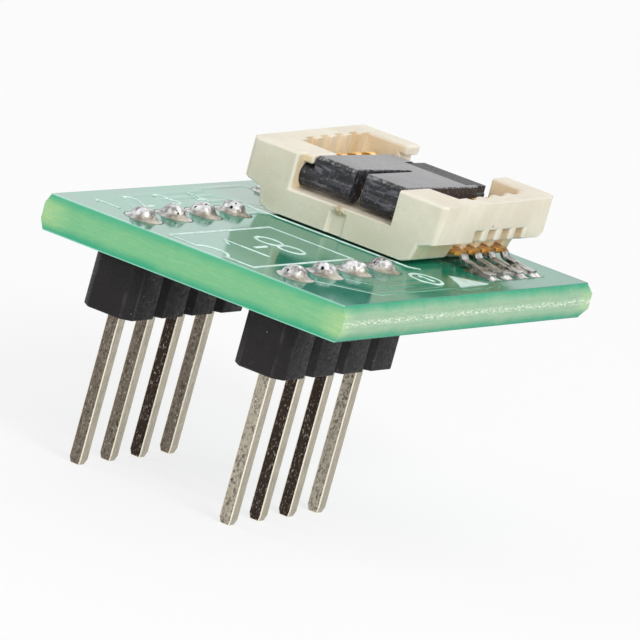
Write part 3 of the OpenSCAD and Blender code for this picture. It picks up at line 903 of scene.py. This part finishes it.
moundLook = dict(
    # radius share and height share, from the pad up
    profile=[(1.0, 0.0), (0.86, 0.05), (0.74, 0.16), (0.65, 0.36),
             (0.57, 0.6), (0.46, 0.81), (0.28, 0.95), (0.0, 1.0)],
    rise=1.08,  # share of the solid mound's height
    stepsBetween=4,
    turns=72,
    merge=0.001,  # mm
    stainBearing=-35.0,  # degrees, where flux is left
    stainEdge=0.1,
    stainTop=0.8,  # height share
    stainGain=2.0,
    farSwell=0.9,  # the side away from the flux stands steeper
    farTuck=0.12,
    footShare=0.01,  # height share that stays on the pad
    heart=0.25,  # height share that lumps point away from
    lump=0.055,  # mm
    lumpWaves=(2400, 6000),  # coarse and fine
    lumpFine=0.45,
    lumpSink=0.3,
    lumpStart=3.0,
    lean=0.05,  # mm
    seed=(13.7, 5.3, 2.9),
    leanSeed=1.7,
    pitDepth=0.9,
    # pin number: pits as bearing in degrees, height share, size in mm
    pits={
        2: [(-40, 0.5, 0.09)],
        3: [(-63, 0.96, 0.12), (-125, 0.5, 0.1)],
        4: [(-78, 0.55, 0.12), (-55, 0.95, 0.09)],
        5: [(-75, 0.93, 0.11), (-122, 0.5, 0.09)],
        7: [(-86, 0.62, 0.14)],
        8: [(-118, 0.5, 0.1)],
    },
)


def solderMaterial(look, name):
    mat, tree, shader = newMaterial(name, 1.0)
    place = coords(tree)
    cloud = noiseTex(place, *look["cloud"])
    fine = noiseTex(place, *look["fine"])
    base = mixed(level(cloud, *look["cloudSpan"]), look["dull"], look["bright"])
    cover = level(cloud, *look["filmSpan"], look["filmLeast"] * look["film"], look["film"])
    film = product(painted(tree, "flux"), cover)
    base = mixed(film, base, look["residue"])
    base = mixed(level(painted(tree, "pit"), *look["pitSpan"]), base, look["pit"])
    rough = maths("ADD", level(cloud, *look["roughSpan"]), product(film, look["filmRough"]))
    dress(shader, base, rough)
    height = maths("ADD", cloud, product(fine, look["fineShare"]))
    bumped(shader, height, *look["relief"])
    return mat


def smoothProfile(points, between):
    # points on a smooth curve through the given ones
    out = []
    for k in range(len(points) - 1):
        p0 = Vector(points[max(k - 1, 0)])
        p1, p2 = Vector(points[k]), Vector(points[k + 1])
        p3 = Vector(points[min(k + 2, len(points) - 1)])
        for j in range(between):
            t = j / between
            out.append(0.5 * (2 * p1 + (p2 - p0) * t + (2 * p0 - 5 * p1 + 4 * p2 - p3) * t * t
                              + (3 * p1 - p0 - 3 * p2 + p3) * t ** 3))
    out.append(Vector(points[-1]))
    return out


def profileRadius(profile, share):
    for (r0, h0), (r1, h1) in zip(profile, profile[1:]):
        if share <= h1:
            return r0 + (r1 - r0) * (share - h0) / (h1 - h0)
    return 0.0


def spinMound(bm, look, base, radius, tall):
    curve = smoothProfile(look["profile"], look["stepsBetween"])
    verts = [bm.verts.new(base + Vector((p[0] * radius, 0, p[1] * tall))) for p in curve]
    edges = [bm.edges.new(pair) for pair in zip(verts, verts[1:])]
    bmesh.ops.spin(bm, geom=verts + edges, cent=base, axis=(0, 0, 1), angle=math.tau, steps=look["turns"],
                   use_merge=True, use_duplicate=False)
    bmesh.ops.remove_doubles(bm, verts=bm.verts, dist=look["merge"] * mm)
    bmesh.ops.contextual_create(bm, geom=[e for e in bm.edges if e.is_boundary])
    bmesh.ops.recalc_face_normals(bm, faces=bm.faces)


def pitPlaces(look, number, base, radius, tall):
    out = []
    for bearing, share, size in look["pits"].get(number, []):
        r = profileRadius(look["profile"], share) * radius
        angle = math.radians(bearing)
        out.append((base + Vector((r * math.cos(angle), r * math.sin(angle), share * tall)), size * mm))
    return out


def makeMound(look, mat, number):
    name = "pin_solder_%d" % number
    low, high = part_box(name)
    radius = (high.y - low.y) / 2
    tall = (high.z - boardTop) * look["rise"]
    base = Vector(((low.x + high.x) / 2, (low.y + high.y) / 2, boardTop))
    bm = bmesh.new()
    pitLayer = bm.verts.layers.float.new("pit")
    fluxLayer = bm.verts.layers.float.new("flux")
    spinMound(bm, look, base, radius, tall)
    pits = pitPlaces(look, number, base, radius, tall)
    seed = Vector([number * c for c in look["seed"]])
    lean = Vector((noise.noise(seed), noise.noise(seed * look["leanSeed"]), 0)) * look["lean"] * mm
    coarse, fine = look["lumpWaves"]
    for vert in bm.verts:
        share = (vert.co.z - boardTop) / tall
        turned = math.atan2(vert.co.y - base.y, vert.co.x - base.x) - math.radians(look["stainBearing"])
        stain = (math.cos(turned) - look["stainEdge"]) * (look["stainTop"] - share) * look["stainGain"]
        vert[fluxLayer] = max(0.0, min(1.0, stain))
        far = max(0.0, -math.cos(turned))
        fuller = 1 + far * (look["farSwell"] * share * (1 - share) - look["farTuck"] * (1 - share))
        vert.co.x = base.x + (vert.co.x - base.x) * fuller
        vert.co.y = base.y + (vert.co.y - base.y) * fuller
        if share < look["footShare"]:
            continue
        out = (vert.co - base - Vector((0, 0, look["heart"] * tall))).normalized()
        lump = noise.noise(vert.co * coarse + seed) + look["lumpFine"] * noise.noise(vert.co * fine + seed)
        grown = (lump - look["lumpSink"]) * min(1.0, share * look["lumpStart"])
        vert.co += out * look["lump"] * mm * grown + lean * share
        for centre, size in pits:
            near = (vert.co - centre).length / size
            if near < 1.0:
                depth = (1 - near * near) ** 2
                vert.co -= out * depth * look["pitDepth"] * size
                vert[pitLayer] = max(vert[pitLayer], depth)
    for face in bm.faces:
        face.smooth = len(face.verts) < 5  # all but the foot
    addPiece(bm, "pinSolder%d" % number, [mat], "solder", name)


moundSkin = solderMaterial(solderLook, "moundSkin")
for number in range(1, 9):
    makeMound(moundLook, moundSkin, number)
print("solder mounds made")


# plated holes and contact pads: tinned copper

padLook = dict(
    colour=paint(206, 205, 200),
    shade=paint(160, 158, 150),
    cloud=(2500.0, 4.0),
    fine=(2500.0, 4.0),
    cloudSpan=(0.35, 0.65),
    roughSpan=(0.3, 0.7, 0.22, 0.42),
    relief=(0.2, 0.02),
)

padTin = cloudedMaterial(padLook, "padTin", 1.0)
repaint(padTin, "plated_holes", "contact_pads_left", "contact_pads_right")
print("pads painted")


# spring contacts: gold at the shoulder and arm, tinned along the tail

contactLook = dict(
    gold=paint(236, 194, 124),
    goldShade=paint(196, 146, 80),
    tin=paint(206, 205, 204),
    tinShade=paint(112, 110, 109),
    tinned=(4.4, 4.5),  # mm from the socket's middle
    ragged=0.25,  # mm
    cloud=(2200.0, 4.0, 0.6),
    fine=((0.35, 1, 0.6), 6500.0, 3.0, 0.6),
    goldSpan=(0.35, 0.65),
    tinSpan=(0.38, 0.6),
    roughSpan=(0.3, 0.7, 0.28, 0.5),
    wrinkleSpan=(0.0, 1.0, 0.25, 1.0),
    relief=(0.45, 0.04),
    roundOver=(0.035, 2, 40.0),
)


def contactMaterial(look):
    mat, tree, shader = newMaterial("contactPlate", 1.0)
    place = coords(tree)
    out = maths("ABSOLUTE", maths("SUBTRACT", axes(place)["X"], socketX))
    cloud = noiseTex(place, *look["cloud"])
    fine = stretchedNoise(place, *look["fine"])
    sway = product(maths("SUBTRACT", cloud, 0.5), look["ragged"] * mm)
    tinFrom, tinTo = look["tinned"]
    tinned = level(maths("ADD", out, sway), tinFrom * mm, tinTo * mm)
    gold = mixed(level(cloud, *look["goldSpan"]), look["goldShade"], look["gold"])
    tin = mixed(level(fine, *look["tinSpan"]), look["tinShade"], look["tin"])
    dress(shader, mixed(tinned, gold, tin), level(fine, *look["roughSpan"]))
    wrinkle = product(fine, level(tinned, *look["wrinkleSpan"]))
    bumped(shader, wrinkle, *look["relief"])
    return mat


def makeContacts(look):
    mat = contactMaterial(look)
    for number in range(1, 9):
        name = "socket_contact_%d" % number
        bm = softCopy(name, look)
        addPiece(bm, "springContact%d" % number, [mat], "contact_metal", name)


makeContacts(contactLook)
print("contacts made")


# solder drawn along the contact feet

footLook = dict(
    toe=0.06,  # mm of pad left bare
    width=0.88,
    length=1.5,
    height=0.42,
    sink=0.03,  # mm of rim in the pad
    cells=(26, 12),
    waist=(0.86, 0.2),  # width share at the ends, and what the middle adds
    lump=(0.85, 0.35),  # mean height share, and swing
    lumpWaves=(3, 1.4),  # along and across
    climb=(0.25, 0.75),  # height share at the toe, and what the heel adds
    endSlopes=(6.0, 5.0),
    crown=1.2,
    seed=(4.1, 3.3),
    smoothFrom=-0.5,  # faces that look further down are flat
    skin={"bright": paint(194, 192, 190), "dull": paint(116, 113, 110), "film": 0.15, "relief": (0.4, 0.07)},
)


def shapeFoot(look, verts, number, side, toeX):
    y = padPlace(number) * mm
    seed = Vector((number * look["seed"][0], side * look["seed"][1], 0))
    (narrow, waist), (mean, swing), (low, climb) = look["waist"], look["lump"], look["climb"]
    wavesAlong, wavesAcross = look["lumpWaves"]
    toeSlope, heelSlope = look["endSlopes"]
    for vert in verts:
        u, v = (vert.co.x + 1) / 2, vert.co.y  # toe to heel, and across
        wide = look["width"] * (narrow + waist * math.sin(math.pi * u)) * mm / 2
        lump = mean + swing * noise.noise(Vector((u * wavesAlong, v * wavesAcross, 0)) + seed)
        along = (low + climb * u) * min(1.0, toeSlope * u) * min(1.0, heelSlope * (1 - u))
        across = math.sqrt(max(0.0, 1 - v * v)) ** look["crown"]
        x = toeX - side * (look["toe"] + look["length"] * u) * mm
        vert.co = (x, y + wide * v, boardTop + look["height"] * mm * along * across * lump)


def makeFootSolder(look, mat):
    for side, word, numbers in ((-1, "Left", (1, 2, 3, 4)), (1, "Right", (5, 6, 7, 8))):
        low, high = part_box("contact_pads_%s" % word.lower())
        bm = bmesh.new()
        bm.verts.layers.float.new("pit")
        columns, rows = look["cells"]
        for number in numbers:
            made = bmesh.ops.create_grid(bm, x_segments=columns, y_segments=rows, size=1.0)
            shapeFoot(look, made["verts"], number, side, high.x if side > 0 else low.x)
        rims = [e for e in bm.edges if e.is_boundary]
        sunk = bmesh.ops.extrude_edge_only(bm, edges=rims)
        down = [v for v in sunk["geom"] if isinstance(v, bmesh.types.BMVert)]
        bmesh.ops.translate(bm, verts=down, vec=(0, 0, -look["sink"] * mm))
        bmesh.ops.holes_fill(bm, edges=[e for e in bm.edges if e.is_boundary], sides=0)
        bmesh.ops.recalc_face_normals(bm, faces=bm.faces)
        for face in bm.faces:
            face.smooth = face.normal.z > look["smoothFrom"]
        addPiece(bm, "footSolder%s" % word, [mat], "solder", "contact_solder_%s" % word.lower())


makeFootSolder(footLook, solderMaterial({**solderLook, **footLook["skin"]}, "footSkin"))
print("foot solder made")


# socket housing: cream moulding, painted brighter and warmer inside the pocket for light bouncing there

housingLook = dict(
    creamOutside={"colour": paint(234, 226, 207), "shade": paint(224, 215, 194)},
    # painted light: the pocket's inside is a brighter, warmer copy of the cream, standing in for bounced
    # light
    creamInsidePaintedLight={"colour": paint(246, 232, 204), "shade": paint(232, 210, 174)},
    # pale colour for the fine grain's flecks, and for a painted highlight on the rounded edges
    edge=paint(246, 240, 228),
    speck=paint(120, 98, 74),
    stain=paint(176, 142, 92),
    grain={"Cloud Scale": 420.0, "Fine Scale": 7000.0, "Speck Scale": 5000.0, "Speck Share": 0.0025},
    cloudSpan=(0.36, 0.64),
    fineSpan=(0.55, 0.75, 0.0, 0.3),
    edgeHighlightShare=0.5,
    speckShare=0.8,
    mottle=(3600.0, 4.0, 0.7),
    mottleSpan=(0.56, 0.7, 0.0, 0.4),
    mottleDim=0.86,
    stainReach=(0.42, 0.12),  # mm around the gate
    stainShare=0.75,
    stainSpan=(0.36, 0.6),
    roughSpan=(0.3, 0.7, 0.38, 0.56),
    fineRelief=0.4,
    relief=(0.16, 0.04),
    join=(0.006, 4.5),  # mm, and degrees between facets that become one
    roundOver=(0.12, 3, 28.0),
    rimDrop=0.225,  # mm that the rim falls to the front
    shortEdge=0.25,  # mm
    pocket=(0.45, 0.45, 0.9),  # mm from the sides, front and back to where the painted-light inside begins
    insideFacing=0.9,
    channelHalf=0.3,  # mm
    channelSlant=0.14,  # mm that each side of the front channel opens outwards
    gate=(0.0, 0.03, 1.22),  # mm from the housing's middle, front and foot
    gateSize=(0.27, 0.09, 0.15),
    gateRough=0.05,  # mm
    gateWaves=9000,
)


def gatePlace(look):
    x, y, z = (c * mm for c in look["gate"])
    return socketX + x, socketLow.y + y, boardTop + z


def creamMaterial(look, name):
    cream = look[name]
    mat, tree, shader = newMaterial(name)
    place = coords(tree)
    grain = placed(grainGroup, place, look["grain"])
    base = mixed(level(grain["Cloud"], *look["cloudSpan"]), cream["shade"], cream["colour"])
    base = mixed(level(grain["Fine"], *look["fineSpan"]), base, look["edge"])
    # painted highlight along the rounded edges, where they catch the light
    base = mixed(product(painted(tree, "edge"), look["edgeHighlightShare"]), base, look["edge"])
    mottle = noiseTex(place, *look["mottle"])
    dim = dimmed(cream["shade"], look["mottleDim"])
    base = mixed(level(mottle, *look["mottleSpan"]), base, dim)
    base = mixed(product(grain["Specks"], look["speckShare"]), base, look["speck"])
    reach = add(tree, "ShaderNodeVectorMath", operation="DISTANCE")
    plug(place, reach.inputs[0])
    plug(gatePlace(look), reach.inputs[1])
    stainFrom, stainTo = look["stainReach"]
    browned = level(reach.outputs["Value"], stainFrom * mm, stainTo * mm, 0.0, look["stainShare"])
    browned = product(browned, level(mottle, *look["stainSpan"]))
    base = mixed(browned, base, look["stain"])
    dress(shader, base, level(grain["Fine"], *look["roughSpan"]))
    height = maths("ADD", grain["Cloud"], product(grain["Fine"], look["fineRelief"]))
    bumped(shader, height, *look["relief"])
    return mat


def slantChannel(bm, look):
    for vert in bm.verts:
        aside = vert.co.x - socketX
        atSide = abs(abs(aside) - look["channelHalf"] * mm) < touch
        if atSide and vert.co.y - socketLow.y < touch:
            vert.co.x += math.copysign(look["channelSlant"] * mm, aside)


def addGate(bm, look):
    # the broken stub where the mould was filled
    size = Matrix.Diagonal([c * mm for c in look["gateSize"]] + [1.0])
    place = Matrix.Translation(gatePlace(look)) @ size
    made = bmesh.ops.create_icosphere(bm, subdivisions=4, radius=1.0, matrix=place)
    for vert in made["verts"]:
        vert.co += vert.normal * look["gateRough"] * mm * noise.noise(vert.co * look["gateWaves"])
        for face in vert.link_faces:
            face.smooth = True


def rimOrLong(edge, look):
    # the short edges below the rim are the steps of rounded corners
    first, second = (vert.co.z for vert in edge.verts)
    rim = min(first, second) > socketHigh.z - look["rimDrop"] * mm and abs(first - second) < touch
    return rim or edge.calc_length() > look["shortEdge"] * mm


def makeHousing(look):
    bm = nodeCopy("socket_housing", *look["join"])
    slantChannel(bm, look)
    softenEdges(bm, look, rimOrLong)
    side, front, back = (c * mm for c in look["pocket"])
    # faces deep in the pocket get the painted-light copy of the cream
    for face in bm.faces:
        centre = face.calc_center_median()
        deepX = socketHigh.x - side > centre.x > socketLow.x + side
        deepY = socketHigh.y - back > centre.y > socketLow.y + front
        face.material_index = 1 if deepX and deepY and face.normal.z < look["insideFacing"] else 0
    shadeByAngle(bm)
    addGate(bm, look)
    skins = [creamMaterial(look, "creamOutside"), creamMaterial(look, "creamInsidePaintedLight")]
    addPiece(bm, "socketHousing", skins, "housing_plastic", "socket_housing")


makeHousing(housingLook)
print("housing made")


# hinged lid: dark plastic with a top painted greyer for its sheen, scuffed lobes and a coarse finger tab

lidLook = dict(
    lidSide={"colour": paint(25, 23, 31), "roughness": 0.5, "scuffing": 0.8, "coarse": 0.9},
    # painted sheen: the top is painted grey for the sheen it shows at a grazing view
    lidTopPaintedSheen={"colour": paint(76, 75, 80), "roughness": 0.26, "scuffing": 0.05, "coarse": 0.01},
    lidTab={"colour": paint(18, 17, 21), "roughness": 0.62, "scuffing": 0.4, "coarse": 0.9},
    speckle=paint(132, 129, 140),
    scuff=paint(182, 180, 178),
    ior=1.55,
    grain={"Cloud Scale": 900.0, "Fine Scale": 6500.0, "Speck Scale": 14000.0, "Speck Share": 0.08},
    scuffs={"Scale": 4600.0, "Patch Scale": 900.0},
    cloudSpan=(0.35, 0.68),
    cloudGain=1.5,
    fineSpan=(0.5, 0.72),
    fineShare=0.32,
    streaks=((0.2, 1, 1), 4200.0, 3.0, 0.6),
    streaksFade=(1.8, 3.2),  # mm, from the lobes back
    streaksLeft=0.3,
    paleSpan=(0.54, 0.66, 0.0, 0.6),
    darkSpan=(0.5, 0.36, 0.0, 0.9),
    darkDim=0.3,
    edgeWearAndHighlightSpan=(0.45, 0.65, 0.05, 0.7),
    speckShare=0.6,
    lowScuffs=(1.9, 1.55),  # mm over the board
    lowShare=0.75,
    roughFrom=(0.3, 0.7),
    roughSwing=(0.02, 0.1),  # least, and what a coarse skin adds
    reliefDepth=0.045,  # mm
    roundOver=(0.06, 2, 28.0),
    underside=2.36,  # mm over the board
    topFrom=2.5,
    topFacing=0.9,
    tabFrom=(-1.2, 7.15),  # mm, left end and front edge of the tab
)


def lidMaterial(look, name):
    skin = look[name]
    colour, coarse = skin["colour"], skin["coarse"]
    mat, tree, shader = newMaterial(name, 0.0, look["ior"])
    place = coords(tree)
    parts = axes(place)
    grain = placed(grainGroup, place, look["grain"])
    scuffs = placed(scuffGroup, place, look["scuffs"])
    cloud = level(grain["Cloud"], *look["cloudSpan"])
    base = mixed(cloud, colour, dimmed(colour, look["cloudGain"]))
    speckled = level(grain["Fine"], *look["fineSpan"], 0.0, look["fineShare"] * coarse)
    base = mixed(speckled, base, look["speckle"])
    streaks = stretchedNoise(place, *look["streaks"])
    fadeFrom, fadeTo = look["streaksFade"]
    lobes = level(parts["Y"], fadeTo * mm, fadeFrom * mm, look["streaksLeft"] * coarse, coarse)
    pale = product(lobes, level(streaks, *look["paleSpan"]))
    base = mixed(pale, base, look["speckle"])
    dark = product(lobes, level(streaks, *look["darkSpan"]))
    base = mixed(dark, base, dimmed(colour, look["darkDim"]))
    rub = maths("MAXIMUM", product(scuffs["Scuffs"], scuffs["Patches"]),
                product(grain["Specks"], look["speckShare"]))
    lowFrom, lowTo = (boardTop + c * mm for c in look["lowScuffs"])
    low = level(parts["Z"], lowFrom, lowTo, 0.0, look["lowShare"])
    rub = maths("MAXIMUM", rub, product(low, scuffs["Scuffs"]))
    # rounded edges painted paler: partly wear, partly a painted highlight where the edges catch the light
    edgeWearAndHighlight = product(painted(tree, "edge"), level(grain["Fine"], *look["edgeWearAndHighlightSpan"]))
    rub = product(maths("MAXIMUM", rub, edgeWearAndHighlight), skin["scuffing"])
    swing = look["roughSwing"][0] + look["roughSwing"][1] * coarse
    rough = level(grain["Fine"], *look["roughFrom"], skin["roughness"] - swing, skin["roughness"] + swing)
    dress(shader, mixed(rub, base, look["scuff"]), rough)
    bumped(shader, maths("ADD", grain["Fine"], scuffs["Scuffs"]), coarse, look["reliefDepth"])
    return mat


def aboveUnderside(edge, look):
    return any(vert.co.z > boardTop + look["underside"] * mm for vert in edge.verts)


def makeLid(look):
    bm = softCopy("socket_lid", look, aboveUnderside)
    tabX, tabY = (c * mm for c in look["tabFrom"])
    for face in bm.faces:
        centre = face.calc_center_median()
        if centre.y > tabY and centre.x > tabX:
            face.material_index = 2
        # upward faces get the top's painted sheen
        elif face.normal.z > look["topFacing"] and centre.z > boardTop + look["topFrom"] * mm:
            face.material_index = 1
    skins = [lidMaterial(look, name) for name in ("lidSide", "lidTopPaintedSheen", "lidTab")]
    addPiece(bm, "socketLid", skins, "lid_plastic", "socket_lid", body="lid")


makeLid(lidLook)
print("lid made")
